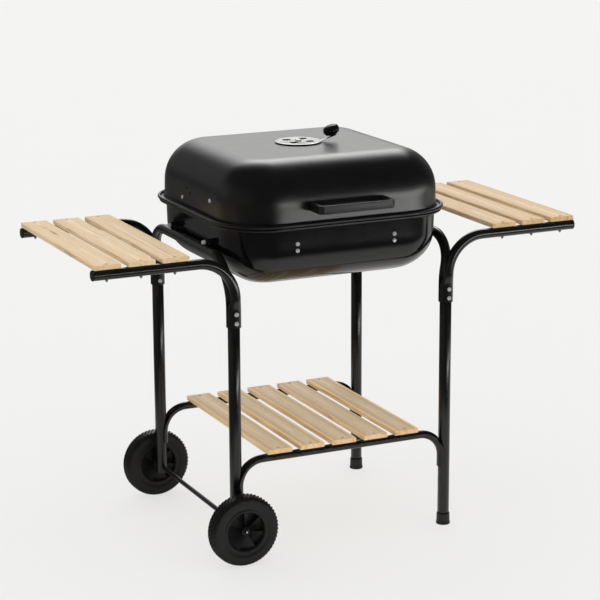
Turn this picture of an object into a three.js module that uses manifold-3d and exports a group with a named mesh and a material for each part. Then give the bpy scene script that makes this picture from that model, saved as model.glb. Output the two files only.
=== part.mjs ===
// A small charcoal grill on a tube stand: a deep rectangular bowl and a matching domed lid in
// enamelled steel, four tube legs, a wooden side table on each side, a slatted shelf below and
// two wheels. Millimetres, +Z up, front towards -Y, origin on the ground under the middle.
import * as THREE from 'three';
import { mergeVertices } from 'three/addons/utils/BufferGeometryUtils.js';
import Module from 'manifold-3d';

const wasm = await Module();
wasm.setup();

// ---------------------------------------------------------------- driving dimensions
const GAP = 0.3;                    // clearance between neighbouring pieces

const LEG = { x: 243.5, y: 209, radius: 12.5, wall: 1.2, top: 529.5, wheelEnd: 62 };
const FOOT = { height: 25, topRadius: 13.9, groundRadius: 15.2, sole: 3 };

const TUBE = { sides: 12, wall: 1.2 };
const SHELL = {
  inside: 13.4, thick: 2, wall: 0.8, spread: 1.4, bottom: 495, top: 530, roundAt: 560,
};
const ARM = { radius: 10.5, axisZ: 635, bend: 80, endX: 543 };
const CRADLE = { radius: 10.5, axisZ: 632, bend: 62, barX: 253.6 };
const RAIL = { radius: 8.5, axisZ: 208.9, bend: 53.5, end: 132, pressedTo: 0.75 };

const PLUG = { headRadius: 11, head: 4, stemRadius: 8.5, stem: 14 };

const TABLE_SLAT = { width: 56.3, pitch: 71.3, thick: 10, length: 457, centreX: 444, top: 656 };
const SHELF_SLAT = { width: 55.3, pitch: 73.8, thick: 10, length: 441, top: 227.7, count: 5 };

const WHEEL = { radius: 75, width: 35, axisZ: 75, nearY: 227, dishRadius: 40, hubWidth: 28, bore: 5.4 };
const AXLE = { radius: 5, halfLength: 264 };
const NUT = { radius: 9, thick: 3 };

const BOWL = {
  halfX: 242.6, halfY: 231.3, corner: 98, bottom: 561.2, foldIn: 110, foldUp: 84.3, wall: 1.4,
};
const LID = {
  halfX: 247.2, halfY: 234.9, corner: 105.7, shoulder: 821.5, pad: 823.6, padRadius: 56,
  foldIn: 88.3, foldDown: 85.6, wall: 1.4,
};
const RIM = { z: 695.6, reach: 14.7, bead: 6.6 };
const BRACKET = { x: 110, width: 30, low: 640, ledge: 664, reach: 18, thick: 2, standOff: 1.2 };
const BOLT = { y: 95, radius: 4, sleeve: 6.5, sleeveLength: 15, tail: 7, head: 7, headThick: 5, seat: 0.9 };

const HANDLE = { half: 85, frontY: 285, lowZ: 724, height: 17, thick: 9, chamfer: 8 };

const VENT = { radius: 50, thick: 1.2, holes: 4, holeReach: 26.5, holeRadius: 9.5, holeSides: 14, bore: 3.7 };
const LEVER = { angle: -14, width: 16, foot: 44, bend: 50, outer: 86, slope: 20 };
const KNOB = { radius: 17.5, height: 22, reach: 75 };
const RIVET = { radius: 3.4, head: 7, headThick: 3.2, tail: 6 };

const HINGE = { x: 120, pinY: 262, width: 40, knuckle: 6, pin: 2.5, leaf: 2, middle: 13 };

const GRATE = { halfX: 233, halfY: 222, corner: 88, bar: 5, pitch: 25, frame: 7, bars: 17 };
const COAL_GRATE = {
  halfX: 221, halfY: 209.7, corner: 76, bar: 6, pitch: 32, frame: 8, bars: 13, z: 603,
};

// The handle stands out further at the front than the hinges do at the back, so the whole object
// is moved along Y until the middle of its overall depth is at the origin.
const DEPTH_SHIFT = (HANDLE.frontY - Math.max(HINGE.pinY + HINGE.knuckle, AXLE.halfLength)) / 2;

// ---------------------------------------------------------------- finishes
const finish = (color, roughness, metalness) =>
  new THREE.MeshStandardMaterial({ color, roughness, metalness });
const framePaint = finish(0x141414, 0.35, 0.2);
const enamel = finish(0x0e0e0e, 0.18, 0.1);
const lidEnamel = finish(0x121212, 0.3, 0.1);
const plastic = finish(0x17171a, 0.6, 0);
const tyrePlastic = finish(0x101010, 0.7, 0);
const timber = finish(0xd9b98c, 0.6, 0);
const zinc = finish(0xc4c6c8, 0.3, 1);
const ventSteel = finish(0xcfd0d2, 0.28, 1);
const wire = finish(0x9a9c9e, 0.35, 1);

// ---------------------------------------------------------------- geometry helpers
// A closed skin through rings of equal point counts. An open row of rings is closed by a flat cap
// at each end; a looped one runs back into its first ring, as a hollow tube's two skins do.
function skin(rings, looped = false) {
  const count = rings[0].length;
  const positions = rings.flat().flatMap((p) => [p.x, p.y, p.z]);
  const faces = [];
  const last = looped ? rings.length : rings.length - 1;
  for (let i = 0; i < last; i += 1) {
    const a = i * count;
    const b = ((i + 1) % rings.length) * count;
    for (let k = 0; k < count; k += 1) {
      const n = (k + 1) % count;
      faces.push(a + k, a + n, b + k, a + n, b + n, b + k);
    }
  }
  if (!looped) {
    const end = (rings.length - 1) * count;
    for (let k = 1; k < count - 1; k += 1) {
      faces.push(0, k + 1, k, end, end + k, end + k + 1);
    }
  }
  const geometry = new THREE.BufferGeometry();
  geometry.setAttribute('position', new THREE.Float32BufferAttribute(positions, 3));
  geometry.setIndex(faces);
  return signedVolume(geometry) < 0 ? flipped(geometry) : geometry;
}

function signedVolume(geometry) {
  const p = geometry.getAttribute('position');
  const index = geometry.getIndex();
  const [a, b, c] = [new THREE.Vector3(), new THREE.Vector3(), new THREE.Vector3()];
  let volume = 0;
  for (let i = 0; i < index.count; i += 3) {
    a.fromBufferAttribute(p, index.getX(i));
    b.fromBufferAttribute(p, index.getX(i + 1));
    c.fromBufferAttribute(p, index.getX(i + 2));
    volume += a.dot(b.cross(c)) / 6;
  }
  return volume;
}

function flipped(geometry) {
  const index = Array.from(geometry.getIndex().array);
  for (let i = 0; i < index.length; i += 3) [index[i + 1], index[i + 2]] = [index[i + 2], index[i + 1]];
  geometry.setIndex(index);
  return geometry;
}

// three.js geometry to a solid that can be joined and cut, and back again.
function solid(geometry) {
  const bare = geometry.clone();
  bare.deleteAttribute('normal');
  bare.deleteAttribute('uv');
  const merged = mergeVertices(bare, 1e-4);
  return new wasm.Manifold(new wasm.Mesh({
    numProp: 3,
    vertProperties: Float32Array.from(merged.getAttribute('position').array),
    triVerts: Uint32Array.from(merged.getIndex().array),
  }));
}

function surface(manifold) {
  const mesh = manifold.getMesh();
  const geometry = new THREE.BufferGeometry();
  geometry.setAttribute('position', new THREE.BufferAttribute(Float32Array.from(mesh.vertProperties), 3));
  geometry.setIndex(new THREE.BufferAttribute(Uint32Array.from(mesh.triVerts), 1));
  return geometry;
}

const box = (x0, x1, y0, y1, z0, z1) =>
  solid(new THREE.BoxGeometry(x1 - x0, y1 - y0, z1 - z0)
    .translate((x0 + x1) / 2, (y0 + y1) / 2, (z0 + z1) / 2));

// A straight bar of round section from one point to another.
function rod(from, to, radius, sides = 12) {
  const along = new THREE.Vector3().subVectors(to, from);
  const turn = new THREE.Quaternion().setFromUnitVectors(
    new THREE.Vector3(0, 1, 0), along.clone().normalize());
  const middle = new THREE.Vector3().addVectors(from, to).multiplyScalar(0.5);
  return new THREE.CylinderGeometry(radius, radius, along.length(), sides)
    .applyQuaternion(turn).translate(middle.x, middle.y, middle.z);
}

const point = (x, y, z) => new THREE.Vector3(x, y, z);

// A flat outline in a plane, pushed out to a thickness along +Z.
function plate(outline, thick) {
  const shape = new THREE.Shape(outline.map(([x, y]) => new THREE.Vector2(x, y)));
  return new THREE.ExtrudeGeometry(shape, { depth: thick, bevelEnabled: false });
}

// ---------------------------------------------------------------- bent tubes
// One ring of a tube's skin round a station {centre, u, v, pressed}. "pressed" runs from 0, a
// round tube, to 1, a tube pressed into a double half shell that hugs a leg whose axis lies
// "offset" away along +v. "depth" is 0 for the outer skin and the wall for the inner one.
function tubeRing({ centre, u, v, pressed }, radius, offset, depth) {
  const half = TUBE.sides / 2;
  const shellDepth = depth > 0 ? SHELL.wall : 0;
  const spread = SHELL.spread - shellDepth / SHELL.inside;
  return Array.from({ length: TUBE.sides }, (_, k) => {
    const angle = ((k + 0.5) / TUBE.sides) * 2 * Math.PI;
    const nearLeg = k < half;
    const sweep = spread * (nearLeg ? 1 - (2 * k) / (half - 1) : (2 * (k - half)) / (half - 1) - 1);
    const reach = nearLeg ? SHELL.inside + shellDepth : SHELL.inside + SHELL.thick - shellDepth;
    const across = THREE.MathUtils.lerp((radius - depth) * Math.cos(angle), reach * Math.sin(sweep), pressed);
    const towards = THREE.MathUtils.lerp(
      (radius - depth) * Math.sin(angle), offset - reach * Math.cos(sweep), pressed);
    return centre.clone().addScaledVector(u, across).addScaledVector(v, towards);
  });
}

function bentTube(stations, radius, offset) {
  const outside = stations.map((s) => tubeRing(s, radius, offset, 0));
  const inside = stations.map((s) => tubeRing(s, radius, offset, TUBE.wall)).reverse();
  return skin([...outside, ...inside], true);
}

// Half of an upside-down U: stations {run, z, angle, pressed}, from the pressed end up to the
// start of the level bar, whose axis is at axisZ. "run" is the distance from the U's middle.
function archHalf(legRun, axisZ, bend, lower, pressedAt = () => 0) {
  const up = lower.map(([z, pressed]) => ({ run: legRun, z, angle: 0, pressed }));
  for (let i = 1; i <= BEND_STEPS; i += 1) {
    const angle = (i / BEND_STEPS) * (Math.PI / 2);
    up.push({
      run: legRun - bend * (1 - Math.cos(angle)), z: axisZ - bend + bend * Math.sin(angle),
      angle, pressed: pressedAt(angle),
    });
  }
  return up;
}

// The whole U from its first end to its last: the second half mirrors the first.
function arch(half) {
  const first = half.map((s) => ({ ...s, run: -s.run }));
  const second = half.map((s) => ({ ...s, angle: Math.PI - s.angle })).reverse();
  return [...first, ...second];
}

const BEND_STEPS = 6;

// A table arm: clamps the outer face of a leg's top, rises and bends outwards under the slats.
function armGeometry(sideX, sideY) {
  const offset = ARM.radius + GAP;
  const startZ = ARM.axisZ - ARM.bend;
  const place = (x, z, angle, pressed) => ({
    centre: point(sideX * x, sideY * (LEG.y + offset), z),
    u: point(Math.cos(angle), 0, -sideX * Math.sin(angle)), v: point(0, -sideY, 0), pressed,
  });
  const stations = [
    place(LEG.x, SHELL.bottom, 0, 1), place(LEG.x, SHELL.top, 0, 1),
    place(LEG.x, SHELL.top + 13, 0, 0.5), place(LEG.x, startZ, 0, 0),
  ];
  for (let i = 1; i <= BEND_STEPS; i += 1) {
    const angle = (i / BEND_STEPS) * (Math.PI / 2);
    const x = LEG.x + ARM.bend * (1 - Math.cos(angle));
    stations.push(place(x, startZ + ARM.bend * Math.sin(angle), angle, 0));
  }
  stations.push(place(ARM.endX, ARM.axisZ, Math.PI / 2, 0));
  return bentTube(stations, ARM.radius, offset);
}

// The cradle: an upside-down U from a front leg to the back leg of the same side, clamping their
// inner faces. It leans outwards on its way up, so that its bar passes just outside the bowl.
function cradleGeometry(sideX) {
  const offset = CRADLE.radius + GAP;
  const lean = (z) => LEG.x + (CRADLE.barX - LEG.x) * THREE.MathUtils.smoothstep(z, SHELL.top, CRADLE.axisZ - 10);
  const lower = [[SHELL.bottom, 1], [SHELL.top, 1], [SHELL.top + 14, 0.5], [SHELL.roundAt, 0]];
  const half = archHalf(LEG.y - offset, CRADLE.axisZ, CRADLE.bend, lower);
  const stations = arch(half).map(({ run, z, angle, pressed }) => ({
    centre: point(sideX * lean(z), run, z), u: point(1, 0, 0),
    v: point(0, -Math.cos(angle), Math.sin(angle)), pressed,
  }));
  return bentTube(stations, CRADLE.radius, offset);
}

// A shelf rail: an upside-down U from the left leg to the right leg of the same row, whose pressed
// ends hug the legs' facing sides.
function railGeometry(sideY) {
  const offset = SHELL.inside + SHELL.thick - RAIL.radius;
  const lower = [[RAIL.end, 1], [RAIL.axisZ - RAIL.bend, 1]];
  const pressedAt = (angle) => Math.max(0, 1 - (angle / RAIL.pressedTo) ** 2);
  const half = archHalf(LEG.x - offset, RAIL.axisZ, RAIL.bend, lower, pressedAt);
  const stations = arch(half).map(({ run, z, angle, pressed }) => ({
    centre: point(run, sideY * LEG.y, z), u: point(0, 1, 0),
    v: point(-Math.cos(angle), 0, Math.sin(angle)), pressed,
  }));
  return bentTube(stations, RAIL.radius, offset);
}

function plugGeometry() {
  const { headRadius, head, stemRadius, stem } = PLUG;
  const profile = [[0, -stem], [stemRadius, -stem], [stemRadius, 0], [headRadius, 0],
    [headRadius - 1, head], [0, head]];
  return new THREE.LatheGeometry(profile.map(([r, y]) => new THREE.Vector2(r, y)), 16);
}

// ---------------------------------------------------------------- legs, feet, wheels and axle
const AXLE_HOLE = AXLE.radius + GAP;

function legGeometry(sideX, sideY) {
  const onWheel = sideX < 0;
  const low = onWheel ? LEG.wheelEnd : FOOT.sole + GAP;
  const ringAt = (radius, z) => Array.from({ length: TUBE.sides }, (_, k) => {
    const angle = (k / TUBE.sides) * 2 * Math.PI;
    return point(radius * Math.cos(angle), radius * Math.sin(angle), z);
  });
  const inner = LEG.radius - LEG.wall;
  const tube = skin([
    ringAt(LEG.radius, low), ringAt(LEG.radius, LEG.top), ringAt(inner, LEG.top), ringAt(inner, low),
  ], true).translate(sideX * LEG.x, sideY * LEG.y, 0);
  if (!onWheel) return tube;
  const hole = rod(
    point(sideX * LEG.x, sideY * LEG.y - 20, WHEEL.axisZ), point(sideX * LEG.x, sideY * LEG.y + 20, WHEEL.axisZ),
    AXLE_HOLE);
  return surface(solid(tube).subtract(solid(hole)));
}

function footGeometry() {
  const { height, topRadius, groundRadius, sole } = FOOT;
  const bore = LEG.radius + 0.4;
  const profile = [[0, 0], [groundRadius, 0], [topRadius, height], [bore, height], [bore, sole], [0, sole]];
  return new THREE.LatheGeometry(profile.map(([r, y]) => new THREE.Vector2(r, y)), 20)
    .rotateX(Math.PI / 2);
}

// A moulded wheel: treaded rim with rounded shoulders, dished sides and a hub that turns on the axle.
function wheelGeometry() {
  const half = WHEEL.width / 2;
  const hub = WHEEL.hubWidth / 2;
  const side = [[WHEEL.bore, hub], [14, hub], [17, 6], [WHEEL.dishRadius - 4, 6], [WHEEL.dishRadius, half],
    [WHEEL.radius - 6, half], [WHEEL.radius, half - 6]];
  const profile = [...side.map(([r, y]) => [r, -y]), ...[...side].reverse(), [WHEEL.bore, -hub]];
  return new THREE.LatheGeometry(profile.map(([r, y]) => new THREE.Vector2(r, y)), 28);
}

function axleNutGeometry() {
  const profile = [[AXLE_HOLE, 0], [NUT.radius, 0], [NUT.radius - 1, NUT.thick], [AXLE_HOLE, NUT.thick],
    [AXLE_HOLE, 0]];
  return new THREE.LatheGeometry(profile.map(([r, y]) => new THREE.Vector2(r, y)), 16);
}

// ---------------------------------------------------------------- bowl and lid
const CORNER_STEPS = 4;
const MIN_CORNER = 34;

// A level rounded rectangle of points.
function roundedRing(halfX, halfY, corner, z) {
  const ring = [];
  [[1, 1], [-1, 1], [-1, -1], [1, -1]].forEach(([sx, sy], quarter) => {
    for (let i = 0; i <= CORNER_STEPS; i += 1) {
      const angle = (quarter + i / CORNER_STEPS) * (Math.PI / 2);
      ring.push(point(sx * (halfX - corner) + corner * Math.cos(angle),
        sy * (halfY - corner) + corner * Math.sin(angle), z));
    }
  });
  return ring;
}

// One skin of a pressed shell. Rings run from the flat middle, round the fold, along the wall to
// wallEndZ. "inward" is 0 for the outer skin and the sheet's thickness for the inner one.
function shellRings({ halfX, halfY, corner, foldIn }, foldHeight, flatZ, wallEndZ, inward) {
  const up = Math.sign(wallEndZ - flatZ);
  const steps = 6;
  const rings = [];
  for (let i = 0; i <= steps; i += 1) {
    const angle = ((steps - i) / steps) * (Math.PI / 2);
    const inset = foldIn * (1 - Math.cos(angle)) + inward * Math.cos(angle);
    const z = flatZ + up * (foldHeight * (1 - Math.sin(angle)) + inward * Math.sin(angle));
    rings.push(roundedRing(halfX - inset, halfY - inset, Math.max(corner - inset, MIN_CORNER), z));
  }
  rings.push(roundedRing(halfX - inward, halfY - inward, corner - inward, wallEndZ));
  return rings;
}

// The flanged rim: the sheet turns outwards and its edge is turned back from the seam.
function rimRings({ halfX, halfY, corner, wall }, seamZ, away) {
  const reach = RIM.reach;
  const at = (out, z) => roundedRing(halfX + out, halfY + out, corner + out, z);
  const back = seamZ + away * wall;
  const edge = seamZ + away * RIM.bead;
  return [at(0, back), at(reach - wall, back), at(reach - wall, edge), at(reach, edge), at(reach, seamZ)];
}

function bowlGeometry() {
  const seam = RIM.z - GAP / 2;
  const outer = shellRings(BOWL, BOWL.foldUp, BOWL.bottom, seam - BOWL.wall, 0).slice(0, -1);
  const inner = shellRings(BOWL, BOWL.foldUp, BOWL.bottom, seam, BOWL.wall).reverse();
  let bowl = solid(skin([...outer, ...rimRings(BOWL, seam, -1), ...inner]));
  for (const sideX of [-1, 1]) {
    for (const sideY of [-1, 1]) {
      const y = sideY * BOLT.y;
      const hole = rod(point(sideX * (BOWL.halfX - 8), y, BOLT_Z), point(sideX * (BOWL.halfX + 8), y, BOLT_Z),
        BOLT.radius + GAP);
      bowl = bowl.subtract(solid(hole));
    }
  }
  return surface(bowl);
}

// The ring of round holes that the lid's crown and the damper disc share, the first one at 45 degrees.
function ventHole(index) {
  const middle = ((index + 0.5) / VENT.holes) * 2 * Math.PI;
  return Array.from({ length: VENT.holeSides }, (_, k) => {
    const turn = (k / VENT.holeSides) * 2 * Math.PI;
    return [VENT.holeReach * Math.cos(middle) + VENT.holeRadius * Math.cos(turn),
      VENT.holeReach * Math.sin(middle) + VENT.holeRadius * Math.sin(turn)];
  });
}

function lidGeometry() {
  const seam = RIM.z + GAP / 2;
  const outer = shellRings(LID, LID.foldDown, LID.shoulder, seam + LID.wall, 0).slice(0, -1);
  const inner = shellRings(LID, LID.foldDown, LID.shoulder, seam, LID.wall).reverse();
  const pad = (z) => roundedRing(LID.padRadius, LID.padRadius, LID.padRadius - 6, z);
  let lid = solid(skin([pad(LID.pad), ...outer, ...rimRings(LID, seam, 1), ...inner, pad(LID.pad - LID.wall)]));
  for (let i = 0; i < VENT.holes; i += 1) {
    lid = lid.subtract(solid(plate(ventHole(i), 20).translate(0, 0, LID.pad - 10)));
  }
  const rivetHole = rod(point(0, 0, LID.pad - 10), point(0, 0, LID.pad + 10), RIVET.radius + GAP);
  return surface(lid.subtract(solid(rivetHole)));
}

// A grate bracket: a plate on the inside of the bowl's wall with a ledge along its top.
function bracketGeometry(sideX, sideY) {
  const face = BOWL.halfY - BOWL.wall - BRACKET.standOff;
  const [x0, x1] = [sideX * BRACKET.x - BRACKET.width / 2, sideX * BRACKET.x + BRACKET.width / 2];
  const across = (from, to, z0, z1) => (sideY > 0 ? box(x0, x1, from, to, z0, z1) : box(x0, x1, -to, -from, z0, z1));
  const wallPlate = across(face - BRACKET.thick, face, BRACKET.low, BRACKET.ledge);
  const ledge = across(face - BRACKET.reach, face, BRACKET.ledge - BRACKET.thick, BRACKET.ledge);
  return surface(wallPlate.add(ledge));
}

// A bolt through the bowl's side, with the sleeve that lies on the cradle's bar.
const BOLT_Z = CRADLE.axisZ + CRADLE.radius + BOLT.sleeve + GAP;

function bowlBoltGeometry(sideX, sideY) {
  const along = (from, to, radius, sides) =>
    solid(rod(point(sideX * from, sideY * BOLT.y, BOLT_Z), point(sideX * to, sideY * BOLT.y, BOLT_Z), radius, sides));
  const inside = BOWL.halfX - BOWL.wall - BOLT.seat;
  const outside = BOWL.halfX + GAP;
  const end = outside + BOLT.sleeveLength;
  return surface(along(inside - BOLT.headThick, inside, BOLT.head, 12)
    .add(along(inside - 1, end + BOLT.tail, BOLT.radius, 12))
    .add(along(outside, end, BOLT.sleeve, 12)));
}

// ---------------------------------------------------------------- lid fittings
function handleGeometry() {
  const { half, frontY, thick, chamfer, height, lowZ } = HANDLE;
  const wallY = LID.halfY + GAP;
  const outline = [
    [-half, -wallY], [-half, -frontY + chamfer], [-half + chamfer, -frontY], [half - chamfer, -frontY],
    [half, -frontY + chamfer], [half, -wallY], [half - thick, -wallY], [half - thick, -frontY + thick + chamfer / 2],
    [half - thick - chamfer / 2, -frontY + thick], [-half + thick + chamfer / 2, -frontY + thick],
    [-half + thick, -frontY + thick + chamfer / 2], [-half + thick, -wallY],
  ];
  return plate(outline, height).translate(0, 0, lowZ);
}

const VENT_Z = LID.pad + GAP;

// The lever leaves the disc's edge and rises in a straight slope.
const leverRise = (run) => (run - LEVER.bend) * Math.tan(THREE.MathUtils.degToRad(LEVER.slope));

function damperGeometry() {
  const disc = new THREE.Shape().absarc(0, 0, VENT.radius, 0, 2 * Math.PI);
  for (let i = 0; i < VENT.holes; i += 1) {
    disc.holes.push(new THREE.Path(ventHole(i).reverse().map(([x, y]) => new THREE.Vector2(x, y))));
  }
  disc.holes.push(new THREE.Path().absarc(0, 0, VENT.bore, 0, 2 * Math.PI, true));
  const sheet = new THREE.ExtrudeGeometry(disc, { depth: VENT.thick, bevelEnabled: false, curveSegments: 16 });
  const { foot, bend, outer, width, angle } = LEVER;
  const t = VENT.thick;
  const side = [[foot, 0], [bend, 0], [outer, leverRise(outer)], [outer - 0.4, leverRise(outer) + t],
    [bend - 0.2, t], [foot, t]];
  const lever = plate(side, width).translate(0, 0, -width / 2).rotateX(Math.PI / 2)
    .rotateZ(THREE.MathUtils.degToRad(angle));
  return surface(solid(sheet).add(solid(lever))).translate(0, 0, VENT_Z);
}

// The knob stands square on the sloping lever, near its end.
function knobGeometry() {
  const { radius, height } = KNOB;
  const profile = [[0, 0], [radius - 6, 0], [radius - 4, 4], [radius, 9], [radius, height - 4],
    [radius - 4, height], [0, height]];
  const turn = THREE.MathUtils.degToRad(LEVER.angle);
  const seat = point(KNOB.reach, 0, VENT_Z + leverRise(KNOB.reach) + VENT.thick + 2 * GAP);
  return new THREE.LatheGeometry(profile.map(([r, y]) => new THREE.Vector2(r, y)), 20)
    .rotateX(Math.PI / 2).rotateY(-THREE.MathUtils.degToRad(LEVER.slope))
    .translate(seat.x, seat.y, seat.z).rotateZ(turn);
}

function rivetGeometry() {
  const { radius, head, headThick, tail } = RIVET;
  const top = VENT_Z + VENT.thick + GAP;
  const under = LID.pad - LID.wall - GAP;
  const profile = [[0, under - 2], [tail, under - 2], [tail, under], [radius, under], [radius, top], [head, top],
    [head - 2.5, top + headThick], [0, top + headThick]];
  return new THREE.LatheGeometry(profile.map(([r, y]) => new THREE.Vector2(r, y)), 16)
    .rotateX(Math.PI / 2);
}

// ---------------------------------------------------------------- lid hinges
// A hinge leaf is one bent strip, drawn in the Y-Z plane and as wide as the leaf along X.
function strip(outline, width) {
  const turn = new THREE.Matrix4().makeBasis(point(0, 1, 0), point(0, 0, 1), point(1, 0, 0));
  return solid(plate(outline, width).translate(0, 0, -width / 2).applyMatrix4(turn));
}

const acrossX = (halfWidth, radius, sides) =>
  solid(rod(point(-halfWidth, HINGE.pinY, RIM.z), point(halfWidth, HINGE.pinY, RIM.z), radius, sides));

function bowlLeafGeometry() {
  const { pinY, width, knuckle, pin, leaf, middle } = HINGE;
  const wallY = BOWL.halfY + GAP;
  const armZ = RIM.z - 18.6;
  const outerY = pinY + knuckle;
  const outline = [[wallY, 640], [wallY + leaf, 640], [wallY + leaf, armZ], [outerY, armZ], [outerY, RIM.z],
    [outerY - leaf, RIM.z], [outerY - leaf, armZ + leaf], [wallY, armZ + leaf]];
  const notch = middle / 2 + GAP;
  return surface(strip(outline, width).add(acrossX(width / 2, knuckle, 12))
    .subtract(box(-notch, notch, pinY - 9, outerY + 1, RIM.z - 8.6, RIM.z + 9))
    .subtract(acrossX(width, pin + GAP, 12)));
}

function lidLeafGeometry() {
  const { pinY, width, knuckle, pin, leaf, middle } = HINGE;
  const wallY = LID.halfY + GAP;
  const armZ = RIM.z + 16.4;
  const outerY = pinY + knuckle;
  const outline = [[wallY, 742], [wallY, armZ], [outerY - leaf, armZ], [outerY - leaf, RIM.z], [outerY, RIM.z],
    [outerY, armZ + leaf], [wallY + leaf, armZ + leaf], [wallY + leaf, 742]];
  const low = [RIM.z - 9, RIM.z + 8.4];
  return surface(strip(outline, width).add(acrossX(middle / 2, knuckle, 12))
    .subtract(box(-width, -middle / 2, pinY - 9, outerY + 1, ...low))
    .subtract(box(middle / 2, width, pinY - 9, outerY + 1, ...low))
    .subtract(acrossX(width, pin + GAP, 12)));
}

const hingePinGeometry = () =>
  rod(point(-HINGE.width / 2 - 2, HINGE.pinY, RIM.z), point(HINGE.width / 2 + 2, HINGE.pinY, RIM.z), HINGE.pin);

// ---------------------------------------------------------------- grates
// A frame bar bent to a rounded rectangle, with straight bars across it from front to back.
function grateGeometry({ halfX, halfY, corner, bar, pitch, frame, bars }, z) {
  const ring = (inset, height) => roundedRing(halfX - inset, halfY - inset, corner - inset, height);
  let grate = solid(skin([ring(0, z), ring(0, z + frame), ring(frame, z + frame), ring(frame, z)], true));
  for (let i = 0; i < bars; i += 1) {
    const x = (i - (bars - 1) / 2) * pitch;
    const past = Math.max(0, Math.abs(x) - (halfX - corner));
    const end = halfY - corner + Math.sqrt(corner ** 2 - past ** 2) - frame * 0.6;
    grate = grate.add(box(x - bar / 2, x + bar / 2, -end, end, z + 1, z + 1 + bar));
  }
  return surface(grate);
}

// ---------------------------------------------------------------- assembly
const object = new THREE.Group();
object.position.y = DEPTH_SHIFT;

function put(name, geometry, material, place) {
  const mesh = new THREE.Mesh(geometry, material);
  mesh.name = name;
  if (place) mesh.position.copy(place);
  object.add(mesh);
  return mesh;
}

const SIDES = [['left', -1], ['right', 1]];
const ROWS = [['front', -1], ['back', 1]];

for (const [row, sideY] of ROWS) {
  put(`shelf_rail_${row}`, railGeometry(sideY), framePaint);
  const wheelY = sideY * (WHEEL.nearY + WHEEL.width / 2);
  put(`wheel_${row}`, wheelGeometry(), tyrePlastic, point(-LEG.x, wheelY, WHEEL.axisZ));
  const nut = put(`axle_nut_${row}`, axleNutGeometry(), zinc,
    point(-LEG.x, wheelY + sideY * (WHEEL.hubWidth / 2 + GAP), WHEEL.axisZ));
  if (sideY < 0) nut.rotation.x = Math.PI;
  for (const [side, sideX] of SIDES) {
    put(`leg_${row}_${side}`, legGeometry(sideX, sideY), framePaint);
    put(`table_arm_${row}_${side}`, armGeometry(sideX, sideY), framePaint);
    const plug = put(`arm_plug_${row}_${side}`, plugGeometry(), plastic,
      point(sideX * (ARM.endX + GAP), sideY * (LEG.y + ARM.radius + GAP), ARM.axisZ));
    plug.rotation.z = -sideX * (Math.PI / 2);
    put(`grate_bracket_${row}_${side}`, bracketGeometry(sideX, sideY), zinc);
    put(`bowl_bolt_${row}_${side}`, bowlBoltGeometry(sideX, sideY), zinc);
  }
  put(`foot_cap_${row}`, footGeometry(), plastic, point(LEG.x, sideY * LEG.y, 0));
}

put('wheel_axle', rod(point(-LEG.x, -AXLE.halfLength, WHEEL.axisZ), point(-LEG.x, AXLE.halfLength, WHEEL.axisZ),
  AXLE.radius), zinc);

for (const [side, sideX] of SIDES) {
  put(`bowl_cradle_${side}`, cradleGeometry(sideX), framePaint);
  for (let i = 0; i < 3; i += 1) {
    const { width, thick, length, pitch, centreX, top } = TABLE_SLAT;
    put(`table_slat_${side}_${i + 1}`, new THREE.BoxGeometry(width, length, thick), timber,
      point(sideX * (centreX + (i - 1) * pitch), 0, top - thick / 2));
  }
}

for (let i = 0; i < SHELF_SLAT.count; i += 1) {
  const { width, thick, length, pitch, top, count } = SHELF_SLAT;
  put(`shelf_slat_${i + 1}`, new THREE.BoxGeometry(width, length, thick), timber,
    point((i - (count - 1) / 2) * pitch, 0, top - thick / 2));
}

put('bowl', bowlGeometry(), enamel);
put('lid', lidGeometry(), lidEnamel);
put('lid_handle', handleGeometry(), plastic);
put('vent_damper', damperGeometry(), ventSteel);
put('vent_knob', knobGeometry(), plastic);
put('vent_rivet', rivetGeometry(), zinc);

for (const [side, sideX] of SIDES) {
  const place = point(sideX * HINGE.x, 0, 0);
  put(`hinge_bowl_leaf_${side}`, bowlLeafGeometry(), framePaint, place);
  put(`hinge_lid_leaf_${side}`, lidLeafGeometry(), framePaint, place);
  put(`hinge_pin_${side}`, hingePinGeometry(), zinc, place);
}

put('cooking_grate', grateGeometry(GRATE, BRACKET.ledge + GAP), wire);
put('charcoal_grate', grateGeometry(COAL_GRATE, COAL_GRATE.z), wire);

export default object;
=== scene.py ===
# A charcoal grill on a two-wheeled tube stand with slatted wooden side tables and a shelf.
import math

import bmesh
import bpy
from mathutils import Matrix, Quaternion, Vector


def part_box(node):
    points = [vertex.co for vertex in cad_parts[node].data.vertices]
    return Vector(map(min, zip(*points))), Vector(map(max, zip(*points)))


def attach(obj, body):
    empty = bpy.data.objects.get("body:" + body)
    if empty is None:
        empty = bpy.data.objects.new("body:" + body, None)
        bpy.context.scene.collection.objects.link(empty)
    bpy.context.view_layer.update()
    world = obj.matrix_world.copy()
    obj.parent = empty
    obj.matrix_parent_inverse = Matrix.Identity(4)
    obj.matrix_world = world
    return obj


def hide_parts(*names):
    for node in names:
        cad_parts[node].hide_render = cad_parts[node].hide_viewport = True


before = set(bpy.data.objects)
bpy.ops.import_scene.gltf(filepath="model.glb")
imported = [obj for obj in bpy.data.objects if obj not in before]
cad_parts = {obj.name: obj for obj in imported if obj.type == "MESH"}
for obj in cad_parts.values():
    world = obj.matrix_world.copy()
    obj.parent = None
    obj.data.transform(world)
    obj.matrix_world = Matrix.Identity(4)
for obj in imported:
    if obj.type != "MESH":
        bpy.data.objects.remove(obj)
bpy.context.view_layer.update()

MM = 0.001
TAU = 2 * math.pi
X, Y, Z = Vector((1, 0, 0)), Vector((0, 1, 0)), Vector((0, 0, 1))


def middle(node):
    low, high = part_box(node)
    return (Vector(low) + Vector(high)) / 2


DEPTH_MIDDLE = middle("bowl").y

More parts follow.
